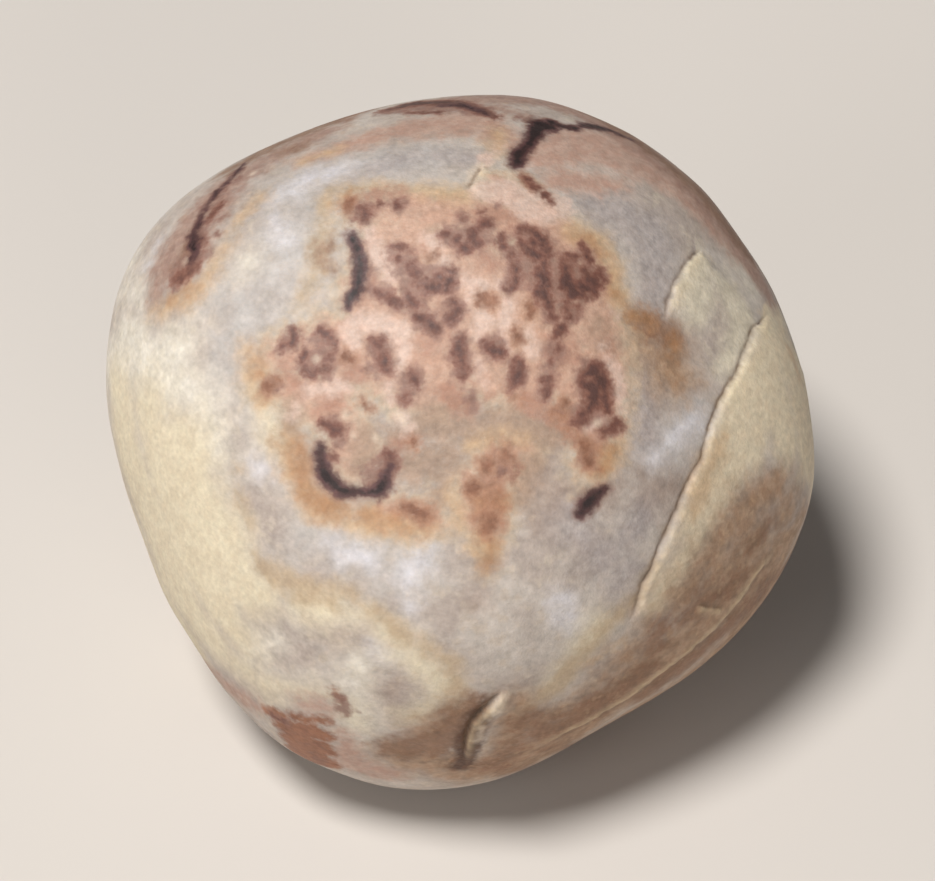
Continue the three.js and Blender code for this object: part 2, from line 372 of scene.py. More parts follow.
# Pale yellowish olive to the right of the ledges.
MARKS["olive"] = (
    ((782, 322, 1.2), (768, 360, 2), (752, 400, 2.8), (742, 440, 2.6), (722, 480, 1.9), (700, 525, 1.6),
     (678, 565, 1.4), (655, 600, 1)),
    ((790, 350, 1.6), (802, 400, 2.4), (808, 445, 2.4), (812, 485, 2), (812, 520, 1.2)),
    ((775, 395, 2), (785, 435, 2)),
)
# Greenish grey between the two ledges.
MARKS["sage"] = (
    ((698, 262, 1.2), (698, 290, 1.7), (694, 308, 1.4)),
    ((725, 290, 1.4), (742, 318, 1.5), (736, 345, 1), (724, 368, 0.7)),
)
# Pinkish fawn along the top edge.
MARKS["fawn"] = (
    ((300, 160, 0.7), (340, 148, 1), (380, 136, 1.3), (430, 126, 1.9), (475, 122, 2), (508, 138, 1.2)),
    ((545, 152, 1.8), (580, 145, 2.2), (620, 152, 2.4), (655, 172, 2.1), (690, 200, 1.9), (724, 234, 1.7),
     (752, 268, 1.3)), ((555, 178, 1.1), (590, 180, 1.2), (622, 184, 0.8)),
    ((470, 215, 0.4), (500, 215, 0.5)),
    ((200, 670, 1.2), (222, 684, 1.2), (244, 700, 1.1), (262, 708, 0.6)),
    ((300, 705, 0.5), (325, 708, 0.6)), ((345, 735, 0.6), (350, 765, 1.4), (385, 775, 1.4)),
)
# Pinkish brown along the top rim and round the streak at the upper left.
MARKS["chestnut"] = (
    ((156, 292, 1), (164, 272, 1.6), (184, 244, 2.2), (204, 212, 2.2), (232, 180, 1.8), (262, 160, 1.5),
     (295, 145, 1.4), (330, 130, 1.2)), ((188, 272, 0.9), (206, 245, 1), (222, 216, 0.9)),
    ((345, 120, 1.1), (385, 106, 1.3), (430, 95, 1.6), (480, 92, 1.8), (530, 92, 1.8), (580, 98, 1.8),
     (630, 113, 2)), ((660, 132, 2.2), (700, 165, 2.2), (740, 210, 2), (770, 255, 1.8), (792, 300, 1.2)),
    ((500, 108, 0.9), (524, 114, 0.8)),
    ((440, 101, 1.4), (480, 98, 1.6), (530, 100, 1.8), (580, 112, 1.8), (616, 130, 2), (652, 154, 2.2),
     (686, 182, 2.2), (716, 214, 2), (745, 252, 1.8), (768, 294, 1.2)),
)
# Brown at the lower right and along the bottom.
MARKS["tan"] = (
    ((652, 350, 1.3), (668, 362, 1.9), (681, 374, 1.5)),
    ((796, 524, 1.4), (775, 560, 3), (725, 600, 3.2), (680, 645, 3.2), (620, 695, 3), (560, 740, 3.2),
     (480, 770, 2.8), (430, 762, 2.2), (400, 755, 1.6)),
    ((770, 488, 1.5), (740, 512, 1.8), (712, 548, 2.1), (682, 592, 2)), (785, 512, 1.6),
    ((745, 548, 2.6), (720, 580, 2.6)), ((800, 560, 2.6), (745, 625, 2.6), (690, 680, 2.6)),
    ((650, 620, 1), (636, 650, 1.2), (606, 678, 1.2), (572, 705, 1.2), (535, 722, 1.2)),
    ((520, 702, 0.8), (514, 722, 1.4), (506, 745, 1.6)), ((455, 715, 1.2), (430, 735, 1.2)),
    ((515, 728, 1.2), (500, 750, 1.4)), ((830, 560, 3), (775, 630, 3), (715, 700, 3), (640, 760, 3)),
)
# Deeper brown in the tan zones and by the top edge; along the rim at the upper right it is painted shade.
MARKS["umber_and_rim_shade"] = (
    ((634, 321, 1), (650, 326, 1.3), (665, 333, 1.2), (677, 346, 0.6)),
    ((650, 690, 1.4), (690, 660, 1.4), (730, 625, 1.4), (762, 592, 1), (790, 560, 0.6)),
    ((600, 708, 1.6), (640, 672, 1.3), (560, 730, 1.5), (525, 722, 1.3), (580, 760, 0.9)),
    ((705, 590, 0.9), (685, 612, 0.9), (735, 578, 0.8)), ((660, 625, 0.7), (650, 650, 0.9)),
    ((474, 700, 0.8), (458, 716, 1.2), (444, 738, 1.7), (415, 748, 1.9), (394, 750, 1.4)),
    ((515, 745, 1), (490, 765, 1.2), (540, 765, 0.8)), ((770, 520, 0.9), (750, 542, 0.9)),
    ((230, 168, 1), (262, 150, 1.2), (300, 135, 1.2), (345, 118, 1.1), (400, 103, 1.1)),
    ((182, 266, 0.3), (196, 246, 0.4)), ((690, 160, 1), (722, 195, 1.2), (756, 240, 1)),
    ((288, 150, 0.5), (300, 148, 0.5)),
    ((590, 112, 0.8), (626, 134, 1), (672, 168, 1.2), (712, 206, 1.2), (746, 250, 0.9)), (330, 247, 0.3),
    (333, 269, 0.4), (322, 260, 0.2),
)
# The salmon field that carries the spots, and its tails.
MARKS["salmon"] = (
    ((365, 210, 1.2), (430, 212, 1.3), (480, 215, 1.8), (540, 225, 1.9), (585, 265, 1.8), (598, 330, 1.8),
     (605, 390, 1.5), (600, 440, 1.2), (590, 465, 0.9)),
    ((390, 245, 2.2), (440, 270, 3.2), (510, 290, 3.4), (545, 330, 3), (580, 390, 1.8)),
    ((370, 300, 2.2), (400, 335, 2.8), (470, 350, 3.2), (520, 375, 2.2)),
    ((288, 352, 1.3), (330, 345, 2), (380, 360, 2.2), (430, 390, 1.4)),
    ((282, 385, 0.8), (330, 400, 1.6), (345, 435, 1.3), (355, 465, 1.1)),
    ((500, 180, 0.8), (515, 205, 1.4)), ((520, 445, 0.9), (500, 460, 1.1), (490, 500, 1), (492, 540, 0.5)),
    ((470, 485, 0.8), (478, 520, 0.7)), ((385, 514, 0.5), (425, 516, 0.7)),
)
# The khaki part of the field, below its middle.
MARKS["khaki"] = (
    ((400, 440, 1.2), (430, 420, 1.3), (470, 430, 1.5), (520, 425, 1.4), (555, 432, 0.9)),
    ((390, 470, 0.8), (430, 465, 1.5), (450, 455, 1.2), (440, 495, 0.9)),
    ((530, 465, 0.9), (520, 500, 0.7)), ((370, 435, 0.9), (362, 462, 0.9)),
    ((600, 325, 0.6), (612, 345, 0.5)), ((292, 410, 0.5), (290, 440, 0.6)),
)
# Redder salmon between the spots.
MARKS["rose"] = (
    ((400, 192, 0.5), (365, 196, 0.4)), ((372, 272, 0.4), (366, 285, 0.5)),
    ((430, 345, 0.7), (445, 322, 0.6), (448, 300, 0.4)), (425, 250, 0.4),
    ((450, 395, 0.8), (470, 405, 0.7)), ((530, 400, 0.8), (560, 415, 1), (575, 435, 0.6)),
    ((345, 358, 0.5), (362, 372, 0.6), (345, 378, 0.4)), ((285, 368, 0.8), (300, 385, 0.5)),
    ((532, 275, 0.6), (530, 290, 0.4)), ((565, 345, 0.6), (550, 352, 0.7), (575, 360, 0.4)),
    ((490, 215, 0.8), (515, 218, 0.6)), ((480, 250, 0.6), (492, 265, 0.5)),
    ((610, 340, 0.2), (595, 448, 0.7)), ((330, 405, 0.7), (320, 412, 0.4)),
    ((400, 445, 0.5), (412, 440, 0.5)), ((490, 485, 0.9), (480, 512, 0.9), (492, 528, 0.6)),
    ((402, 506, 0.4), (425, 515, 0.7), (412, 522, 0.3)), (500, 460, 1),
)
# Pinker and paler between the spots.
MARKS["blush"] = (
    ((368, 232, 0.5), (372, 248, 0.6), (385, 258, 0.7), (390, 275, 0.5)),
    ((430, 240, 0.5), (445, 262, 0.5)), ((355, 320, 0.6), (385, 325, 0.8), (398, 332, 0.8)),
    ((350, 335, 0.7), (355, 345, 0.4)), ((405, 350, 0.5), (398, 368, 0.3)),
    ((465, 280, 0.5), (478, 285, 0.8), (468, 300, 0.5)), ((484, 320, 0.6), (478, 336, 0.3)),
    ((505, 305, 0.4), (508, 325, 0.4), (508, 350, 0.2)), ((528, 335, 0.5), (532, 350, 0.4)),
    ((478, 360, 0.3), (484, 380, 0.4)), ((335, 385, 0.5), (350, 388, 0.3), (310, 392, 0.4)),
    ((392, 398, 0.35), (388, 388, 0.3)), (502, 285, 0.4),
    ((603, 348, 0.3), (615, 370, 0.4), (622, 390, 0.4), (621, 410, 0.4)),
    ((590, 428, 0.3), (600, 420, 0.35)), ((562, 205, 1), (532, 206, 1.4), (510, 192, 1.4), (486, 190, 1)),
    ((404, 418, 0.35), (408, 428, 0.35)), ((485, 160, 0.5), (500, 145, 0.4)),
    ((298, 408, 0.3), (292, 418, 0.3)), (620, 315, 0.3),
)
MARKS["amber"] = (
    ((150, 314, 0.4), (168, 306, 0.6), (196, 293, 0.7), (213, 272, 0.6), (228, 244, 0.45), (244, 216, 0.4),
     (262, 192, 0.4)), ((722, 440, 0.5), (712, 462, 0.9), (704, 480, 0.9), (694, 510, 0.5)),
    ((785, 350, 0.4), (798, 380, 0.4)), ((245, 345, 0.3), (250, 375, 0.8), (262, 400, 0.6)),
    ((285, 445, 0.6), (290, 470, 0.7)),
    ((300, 490, 0.7), (315, 508, 0.8), (345, 522, 0.7), (385, 526, 0.7), (425, 528, 0.6)),
    ((480, 535, 0.5), (484, 552, 0.9)), (486, 575, 0.4),
    ((575, 232, 0.5), (600, 242, 0.6), (614, 268, 0.7), (622, 298, 0.7)),
    ((470, 445, 0.3), (500, 437, 0.5), (522, 440, 0.3)), ((455, 490, 0.5), (462, 520, 0.6)),
    (330, 200, 0.3), ((620, 645, 0.3), (590, 665, 0.3)), ((600, 475, 0.4), (615, 450, 0.3)),
    ((338, 150, 0.3), (300, 162, 0.3)), ((425, 190, 0.4), (460, 194, 0.5)),
    ((498, 130, 0.4), (500, 150, 0.5)),
)
MARKS["ochre"] = (
    ((258, 352, 0.3), (262, 372, 0.5)), (268, 396, 0.2), ((343, 205, 0.4), (350, 195, 0.3)),
    ((302, 450, 0.7), (304, 472, 0.9), (310, 489, 0.9), (322, 502, 0.8), (345, 510, 0.6)),
    ((365, 514, 0.5), (402, 522, 0.6)), ((574, 238, 0.3), (590, 240, 0.4), (598, 252, 0.4)),
    ((608, 280, 0.3), (616, 294, 0.3)), ((493, 545, 0.5), (490, 562, 0.7)),
    ((630, 314, 0.5), (650, 318, 0.5)), (678, 346, 0.5), ((480, 500, 0.5), (500, 500, 0.5)),
    (410, 528, 0.3), ((168, 300, 0.3), (192, 288, 0.3)), ((600, 470, 0.4), (610, 455, 0.4)),
)
MARKS["rust"] = (
    ((270, 713, 0.5), (298, 719, 0.5), (327, 722, 0.5)), ((286, 729, 1), (305, 732, 1), (320, 736, 1)),
    ((298, 744, 1.5), (316, 748, 1.4)), ((308, 758, 1.8), (319, 762, 1.6)),
    ((333, 690, 0.3), (340, 699, 0.4)),
)
# Painted shade, very dark brown, in the bottom crevice beside its step.
MARKS["bottom_crevice_shade"] = (
    ((486, 702, 0.35), (476, 716, 0.7), (470, 734, 0.8), (466, 752, 0.9), (461, 768, 0.9)),
    ((484, 718, 0.45), (480, 728, 0.4)),
)
# Mauve brown, the ground between the closest spots.
MARKS["mauve"] = (
    ((354, 208, 0.7), (365, 213, 0.7)), (352, 220, 0.4), (398, 204, 0.5),
    ((394, 255, 0.6), (404, 262, 0.8), (415, 274, 0.9), (412, 290, 0.8), (414, 305, 0.7)),
    ((425, 285, 0.9), (445, 280, 0.8), (450, 286, 0.6)), ((428, 268, 0.4), (448, 272, 0.4)),
    ((372, 288, 0.4), (388, 296, 0.6), (402, 308, 0.5)), ((428, 322, 0.7), (438, 332, 0.5)),
    ((448, 236, 0.7), (460, 240, 1.1), (476, 238, 0.9), (484, 226, 0.8)), (466, 220, 0.5),
    ((503, 242, 0.6), (512, 255, 0.6)), (500, 205, 0.3), ((368, 272, 0.4), (362, 284, 0.4)),
    ((525, 235, 0.9), (538, 245, 1.1), (540, 258, 1.1), (522, 264, 0.8), (515, 280, 0.8)),
    ((545, 262, 1), (545, 285, 1.1), (546, 300, 0.8), (552, 315, 0.5)),
    ((568, 262, 0.9), (570, 285, 1.2), (588, 285, 1.1), (600, 276, 0.6)), (556, 270, 0.6),
    ((584, 250, 0.5), (590, 262, 0.7)), ((566, 305, 0.8), (572, 315, 0.6), (580, 306, 0.5)),
    ((555, 285, 0.7), (556, 300, 0.5)), ((456, 308, 0.7), (452, 322, 0.6)),
    ((460, 343, 0.7), (464, 368, 0.8)), ((470, 392, 0.4), (476, 408, 0.4)), (494, 350, 0.9),
    ((517, 362, 0.5), (518, 376, 0.7)), ((556, 352, 0.7), (552, 365, 0.4)),
    ((548, 376, 0.6), (547, 390, 0.5)), ((592, 372, 1), (596, 395, 1.3), (584, 412, 0.8)), (612, 428, 0.6),
    ((586, 452, 0.5), (589, 466, 0.4)), (566, 405, 0.4),
    ((318, 340, 0.9), (324, 352, 1), (312, 366, 0.9), (324, 368, 0.7)), ((288, 342, 0.7), (281, 350, 0.4)),
    ((378, 348, 0.8), (385, 364, 0.8)), ((370, 368, 0.5), (376, 374, 0.4)),
    ((412, 378, 0.6), (405, 397, 0.6)), ((332, 428, 0.9), (342, 440, 0.4)),
    ((372, 474, 0.8), (384, 468, 0.7)), ((390, 460, 0.7), (386, 485, 0.6)), (274, 384, 0.6),
    ((326, 462, 0.5), (328, 478, 0.4)),
    ((176, 280, 0.8), (190, 264, 1), (201, 240, 0.8), (212, 212, 0.6), (232, 180, 0.4)), (206, 256, 0.5),
    ((218, 232, 0.3), (224, 216, 0.25)), ((505, 460, 0.6), (507, 472, 0.4)),
    ((385, 112, 0.8), (440, 105, 1), (485, 112, 0.8)), ((525, 120, 0.6), (548, 120, 0.8)),
    ((340, 700, 0.5), (346, 716, 0.4)),
)
# Brick coloured ground of the field's tails.
MARKS["terracotta"] = (
    ((506, 454, 0.9), (506, 472, 0.7)), (488, 466, 0.8), ((490, 490, 0.9), (492, 504, 0.9)),
    ((490, 522, 0.8), (487, 534, 0.6)), ((425, 515, 0.8), (405, 508, 0.5)), (474, 487, 0.6),
    ((588, 450, 0.8), (592, 468, 0.6)), (268, 390, 0.6), ((505, 390, 0.3), (520, 400, 0.4)),
    ((560, 412, 0.6), (572, 428, 0.6)),
)
MARKS["sienna"] = (
    ((484, 296, 0.38), (493, 303, 0.4), (480, 303, 0.3)), ((531, 306, 0.4), (532, 315, 0.3)),
    ((516, 333, 0.28), (519, 340, 0.4)), ((268, 388, 0.4), (277, 381, 0.32)), (488, 465, 0.42),
    (506, 458, 0.42), (473, 487, 0.5), ((490, 520, 0.46), (488, 530, 0.44)),
    ((423, 515, 0.42), (404, 506, 0.25)), ((430, 258, 0.3), (436, 254, 0.25)), (413, 442, 0.3),
    ((352, 200, 0.28), (348, 208, 0.32)), (565, 403, 0.32), ((362, 402, 0.26), (371, 410, 0.26)),
    ((524, 174, 0.36), (532, 184, 0.36)), ((585, 446, 0.3), (588, 462, 0.34)),
    ((345, 357, 0.26), (352, 360, 0.22)),
)
MARKS["maroon"] = (
    ((364, 210, 0.4), (366, 215, 0.45)), (381, 204, 0.28), (397, 204, 0.36),
    ((392, 244, 0.2), (404, 247, 0.3), (412, 250, 0.2)), (398, 257, 0.26),
    ((411, 264, 0.3), (418, 272, 0.38)), ((420, 281, 0.45), (428, 287, 0.5), (438, 287, 0.45)),
    ((440, 277, 0.36), (450, 281, 0.46), (448, 288, 0.4)), ((448, 270, 0.26), (455, 273, 0.3)),
    ((408, 296, 0.35), (413, 303, 0.35)), ((380, 293, 0.3), (392, 297, 0.4), (399, 304, 0.36)),
    ((418, 316, 0.32), (427, 322, 0.4), (436, 329, 0.42)),
    ((454, 303, 0.45), (458, 311, 0.45), (452, 320, 0.42)),
    ((459, 341, 0.46), (460, 350, 0.46), (463, 364, 0.42), (464, 374, 0.4)), (447, 234, 0.36),
    (457, 239, 0.4), (463, 219, 0.32), (465, 249, 0.36), ((474, 232, 0.42), (475, 243, 0.5)),
    ((487, 223, 0.42), (480, 229, 0.32)), (483, 212, 0.28), ((502, 238, 0.36), (503, 246, 0.36)),
    (512, 254, 0.34),
    ((521, 229, 0.34), (532, 231, 0.5), (541, 237, 0.5), (546, 247, 0.5), (548, 256, 0.42)),
    ((522, 245, 0.45), (531, 252, 0.5), (538, 258, 0.5)), (534, 243, 0.55),
    ((516, 266, 0.38), (517, 276, 0.44), (513, 286, 0.42), (509, 292, 0.3)),
    ((545, 264, 0.6), (542, 275, 0.6), (545, 286, 0.6), (542, 294, 0.7), (548, 301, 0.45), (550, 309, 0.34),
     (553, 317, 0.3)), ((568, 255, 0.25), (575, 258, 0.36)),
    ((563, 264, 0.4), (567, 274, 0.6), (568, 285, 0.7), (574, 294, 0.6), (583, 296, 0.45)),
    ((583, 270, 0.45), (590, 280, 0.65), (597, 282, 0.55)), ((600, 271, 0.4), (602, 279, 0.4)),
    ((583, 288, 0.7), (594, 291, 0.45)), ((583, 246, 0.25), (587, 258, 0.4)), (578, 306, 0.36),
    ((567, 307, 0.4), (570, 316, 0.36)), ((486, 346, 0.36), (494, 350, 0.5), (500, 352, 0.46)),
    ((518, 362, 0.36), (520, 372, 0.48), (516, 381, 0.4), (511, 387, 0.26)),
    ((562, 329, 0.42), (558, 336, 0.3)), (558, 350, 0.36), (552, 362, 0.2),
    ((544, 380, 0.3), (550, 381, 0.34), (547, 390, 0.36), (546, 396, 0.26)),
    ((584, 374, 0.5), (597, 371, 0.6), (604, 384, 0.6), (606, 398, 0.5), (608, 410, 0.32)),
    ((586, 384, 0.6), (594, 390, 0.75), (595, 401, 0.65), (587, 411, 0.5), (579, 421, 0.4)),
    ((617, 422, 0.32), (612, 431, 0.34), (603, 431, 0.26)), (622, 427, 0.2),
    ((294, 333, 0.45), (292, 345, 0.45)), (284, 346, 0.26), (279, 352, 0.2),
    ((320, 332, 0.32), (332, 338, 0.36), (335, 346, 0.32)), ((307, 353, 0.36), (303, 360, 0.3)),
    ((304, 370, 0.32), (313, 374, 0.3), (326, 370, 0.3)), (330, 358, 0.3),
    ((378, 343, 0.46), (381, 352, 0.45), (386, 363, 0.46), (387, 370, 0.36)),
    ((412, 373, 0.32), (416, 382, 0.34), (418, 387, 0.28)), (405, 397, 0.42),
    ((325, 425, 0.32), (334, 430, 0.46), (345, 428, 0.28)),
    ((390, 456, 0.36), (392, 464, 0.4), (388, 472, 0.36)), ((330, 456, 0.2), (335, 459, 0.16)),
    ((385, 111, 0.5), (418, 103, 0.9), (453, 101, 0.8), (475, 107, 0.7), (493, 116, 0.5)),
    ((408, 112, 0.3), (440, 111, 0.4)), ((546, 193, 0.36), (550, 199, 0.28)),
    ((527, 177, 0.34), (538, 187, 0.38)), ((174, 282, 0.3), (184, 276, 0.55), (196, 268, 0.4)),
    (203, 244, 0.4), ((212, 218, 0.35), (222, 202, 0.26)), ((272, 715, 0.25), (286, 722, 0.3)),
)
# Nearly black, bluish: the bar, the ring, the dash and the streaks at the top.
MARKS["indigo"] = (
    ((352, 235, 0.44), (357, 248, 0.46), (359, 262, 0.48), (359, 276, 0.48), (357, 287, 0.46),
     (351, 296, 0.52), (347, 307, 0.26)),
    ((321, 446, 0.25), (321, 460, 0.44), (325, 473, 0.6), (332, 482, 0.64), (341, 490, 0.54),
     (349, 491, 0.38), (357, 491, 0.38), (367, 493, 0.3), (378, 492, 0.48), (384, 486, 0.54),
     (386, 478, 0.4), (390, 466, 0.22)),
    ((582, 512, 0.46), (587, 505, 0.62), (593, 498, 0.54), (600, 492, 0.38), (608, 488, 0.2)),
    ((517, 163, 0.5), (519, 154, 0.6), (529, 143, 0.5), (536, 132, 0.7), (541, 123, 0.85), (550, 127, 0.7)),
    ((552, 122, 0.6), (562, 126, 0.36)), ((566, 127, 0.4), (576, 128, 0.5)),
    ((585, 125, 0.55), (598, 127, 0.6), (610, 130, 0.4)), ((618, 134, 0.34), (632, 140, 0.26)),
    ((243, 163, 0.2), (236, 171, 0.34), (226, 182, 0.16), (217, 190, 0.32), (210, 202, 0.14)),
    ((206, 206, 0.3), (201, 216, 0.22), (200, 225, 0.4), (195, 233, 0.32), (194, 246, 0.54),
     (197, 253, 0.36), (192, 262, 0.26)), (190, 236, 0.2), (202, 242, 0.24),
    ((442, 104, 0.3), (458, 103, 0.4), (476, 108, 0.4), (488, 114, 0.25)),
)
# Small milky specks, and painted highlights: glints on chips, at the long ledge's lower end and beside the
# bottom crevice.
MARKS["milky_specks_and_glints"] = (
    (346, 415, 0.25), (354, 436, 0.2), (376, 438, 0.25), (358, 483, 0.22),
    ((400, 414, 0.25), (405, 424, 0.2)), (598, 424, 0.25), (318, 360, 0.2), (398, 624, 0.2),
    (417, 638, 0.2), (408, 598, 0.2), ((642, 603, 0.22), (644, 610, 0.25)), (738, 551, 0.12),
    (186, 262, 0.2), (794, 527, 0.12), ((667, 549, 0.12), (661, 556, 0.15)), (252, 172, 0.2),
    (166, 232, 0.2), (610, 534, 0.2), (474, 377, 0.1), (208, 214, 0.12),
    ((470, 182, 0.3), (476, 173, 0.5), (482, 164, 0.3)), ((505, 696, 0.35), (497, 707, 0.45)),
    ((483, 724, 0.3), (478, 736, 0.35)),
)

# Marks on the hidden sides, by the way from CENTRE: azimuth, 0 towards the front and 90 to the
# right, and height in degrees, then the radius in millimetres.
FAR_MARKS = {
    "lavender_and_sheen": (((140, 5, 4), (150, -22, 4)), ((-150, 15, 4), (-165, -8, 4.5)), (30, -72, 4)),
    "taupe": (((-135, 22, 2), (-160, 32, 2)), ((60, -60, 3), (100, -62, 3))),
    "ivory": (((-118, 8, 2), (-132, 2, 2)), ((150, -50, 2.5), (175, -58, 2))),
    "frost_and_sheen": (((146, 8, 1), (155, -14, 1.4)), ((-155, 10, 1.2), (-168, -4, 1.5))),
    "slate": (((118, 18, 3), (132, 2, 3)), ((170, -40, 4), (-165, -58, 4))),
    "cream": (((-92, -8, 4.5), (-108, -20, 5), (-128, -38, 4.5)), ((-75, -30, 4), (-55, -50, 4))),
    "sand": (
        ((-98, -32, 0.6), (-118, -28, 0.9), (-140, -34, 0.8), (-162, -28, 0.6)),
        ((100, 6, 0.6), (114, -6, 0.8), (126, -22, 0.6)), ((-20, -62, 1), (-60, -72, 0.8)),
    ),
    "olive": (((82, 8, 2.5), (92, 20, 2.5), (104, 34, 2)),),
    "fawn": (((140, 42, 2), (165, 34, 3), (200, 34, 3), (222, 34, 2)),),
    "tan": (
        ((48, -34, 3.5), (64, -30, 3.5), (78, -20, 3)),
        ((150, 34, 2.5), (180, 26, 4), (188, 4, 3.5), (202, -18, 3)),
        ((95, -12, 4), (102, -32, 4), (80, -46, 3.5)), ((0, -55, 4.5), (38, -48, 4.5)),
    ),
    "umber_and_rim_shade": (
        ((172, 30, 1.8), (188, 18, 2), (196, 2, 1.4)), ((108, -22, 2), (114, -38, 1.6)),
        ((10, -56, 2), (32, -52, 1.8)), ((-64, -34, 1.5), (-50, -44, 2)),
    ),
    "salmon": (((158, 2, 2.6), (168, -12, 2.2)), ((-142, -22, 1.4), (-136, -30, 1.2))),
    "rose": (((156, 0, 1.2), (166, -10, 1)), (-140, -25, 0.9)),
    "blush": ((162, 4, 0.8), (170, -8, 0.7)),
    "amber": (((148, 10, 0.7), (160, 12, 0.7), (172, 4, 0.7), (178, -10, 0.6)),),
    "ochre": (((150, 8, 0.4), (164, 11, 0.4)), ((-132, -34, 0.5), (-146, -30, 0.4))),
    "mauve": (
        (156, 3, 0.9), ((163, -5, 1), (168, -12, 0.8)), (151, -5, 0.7), ((170, 30, 1), (186, 24, 1.2)),
        (-140, -24, 0.8),
    ),
    "sienna": ((160, 9, 0.3), (172, -16, 0.4), (-146, -20, 0.35)),
    "maroon": (
        ((155, 4, 0.5), (158, 1, 0.4)), (163, -6, 0.6), (169, -12, 0.45), (151, -6, 0.4), (165, 5, 0.35),
        (173, -4, 0.3), (-140, -24, 0.5), (-136, -29, 0.35),
    ),
    "indigo": (
        ((128, 34, 0.15), (133, 29, 0.4), (137, 25, 0.22), (142, 22, 0.5), (148, 20, 0.3)),
        ((152, 18, 0.42), (157, 17, 0.2)), ((100, -42, 0.4), (103, -46, 0.55)),
        ((-152, -2, 0.15), (-149, -8, 0.5), (-145, -12, 0.25), (-141, -15, 0.4)),
    ),
    "milky_specks_and_glints": ((150, -16, 0.3), (-160, 4, 0.3), (120, 8, 0.25)),
}


OUTSIDE = 0.85  # this part of the way from the eye to the target always ends outside the stone
HALVINGS = 30


def on_stone(pixels):
    """The points of the worn surface that show at these pixels, in face axes."""
    aim = (np.array(pixels, float) - MIDDLE_PIXEL) * (1, -1) / PIXELS_PER_MM
    target = np.column_stack([aim, np.zeros(len(aim))])
    eye = np.array((0, 0, EYE_DISTANCE))
    outside = np.full(len(aim), OUTSIDE)
    inside = np.ones(len(aim))
    for _ in range(HALVINGS):
        middle = (outside + inside) / 2
        out = gauge(eye + (target - eye) * middle[:, None]) > 1
        outside = np.where(out, middle, outside)
        inside = np.where(out, inside, middle)
    points = eye + (target - eye) * inside[:, None]
    return points / gauge(points)[:, None]


def on_far_side(ways):
    """The points of the worn surface these ways from CENTRE, in face axes."""
    azimuth, height = np.radians(np.array(ways, float)).T
    level = np.cos(height)
    way = np.column_stack([np.sin(azimuth) * level, -np.cos(azimuth) * level, np.sin(height)])
    return worn_points(way @ AXES.T)


MARK_REACH = 4.0  # depths are kept down to this far outside a mark


def stroke_depth(places, radii, points):
    """How deep each point lies inside a stroke: the stroke's radius less the distance from it."""
    if len(places) == 1:
        return radii[0] - lengths(points - places[0])
    depth = np.full(len(points), -np.inf)
    for start, end, r0, r1 in zip(places[:-1], places[1:], radii[:-1], radii[1:]):
        way = end - start
        off = points - start
        part = np.clip(off @ way / (way @ way), 0, 1)
        distance = lengths(off - part[:, None] * way)
        depth = np.maximum(depth, r0 + part * (r1 - r0) - distance)
    return depth


def mark_depth(name, points):
    depth = np.full(len(points), -MARK_REACH)
    for marks, placed in ((MARKS, on_stone), (FAR_MARKS, on_far_side)):
        for stroke in marks.get(name, ()):
            stroke = np.array(stroke, float).reshape(-1, 3)
            places = placed(stroke[:, :2])
            depth = np.maximum(depth, stroke_depth(places, stroke[:, 2], points))
    return depth


# ---- the stone ----

def add_object(name, data):
    made = bpy.data.objects.new(name, data)
    bpy.context.scene.collection.objects.link(made)
    return made


def add_field(mesh, name, values):
    mesh.attributes.new(name, "FLOAT", "POINT").data.foreach_set("value", values.astype(np.float32))


CUT_AT = {"olive": "long ledge", "sage": "short ledge"}  # marks that start at a step's foot
CUT_SHARPNESS = 6.0  # how much sharper than elsewhere their border is there
CREVICE_SHADE_PLACE = 0.08  # where the line of painted shade lies, before a step's foot
CREVICE_SHADE_WIDTH = 0.16


def make_stone():
    directions, triangles = ball()
    worn = worn_points(directions)
    height = swell_height(worn)
    jitter = sum(far * rough_values(worn, size) for far, size in JITTER)
    lip = np.zeros(len(worn))
    crevice = np.zeros(len(worn))
    ends = {}
    for name, ledge in LEDGES.items():
        signed, share = ledge_place(ledge, worn, jitter)
        height += ledge_height(ledge, signed, share)
        # Each step's lip is painted pale: partly its worn edge, partly a painted highlight where the edge
        # catches the light.
        strength, reach, foot_shade = ledge.lip
        beyond = np.maximum(0, signed - 0.5 * ledge.width) / reach
        pale_and_lit = strength * share * smooth(signed, 0, 0.5 * ledge.width) * np.exp(-beyond**2)
        lip = np.maximum(lip, pale_and_lit)
        # Painted shade: a dark line in the crevice just before each step's foot.
        foot = np.exp(-((signed + CREVICE_SHADE_PLACE) / CREVICE_SHADE_WIDTH) ** 2)
        crevice = np.maximum(crevice, foot_shade * share * foot)
        ends[name] = CUT_SHARPNESS * signed + MARK_REACH * (1 - share)
    height -= grain_depth(worn)
    mesh = bpy.data.meshes.new("jasper")
    places = in_frame(worn + directions * height[:, None])
    mesh.from_pydata(places.tolist(), [], triangles.tolist())
    mesh.polygons.foreach_set("use_smooth", np.ones(len(triangles), bool))
    add_field(mesh, "lip", lip)
    add_field(mesh, "crevice", crevice)
    for name in TINTS:
        depth = mark_depth(name, worn)
        if name in CUT_AT:
            depth = np.minimum(depth, ends[CUT_AT[name]])
        add_field(mesh, name, depth)
    mesh.update()
    return add_object("jasper", mesh)


# ---- material ----

def linear(red, green, blue):
    """A colour given in 0 to 255 screen values, as the linear values that shaders take."""
    return tuple(((c / 255 + 0.055) / 1.055) ** 2.4 for c in (red, green, blue)) + (1.0,)


NOISE_GAIN = 2.0  # Blender's noise stays near the middle of 0 to 1, so it is spread out


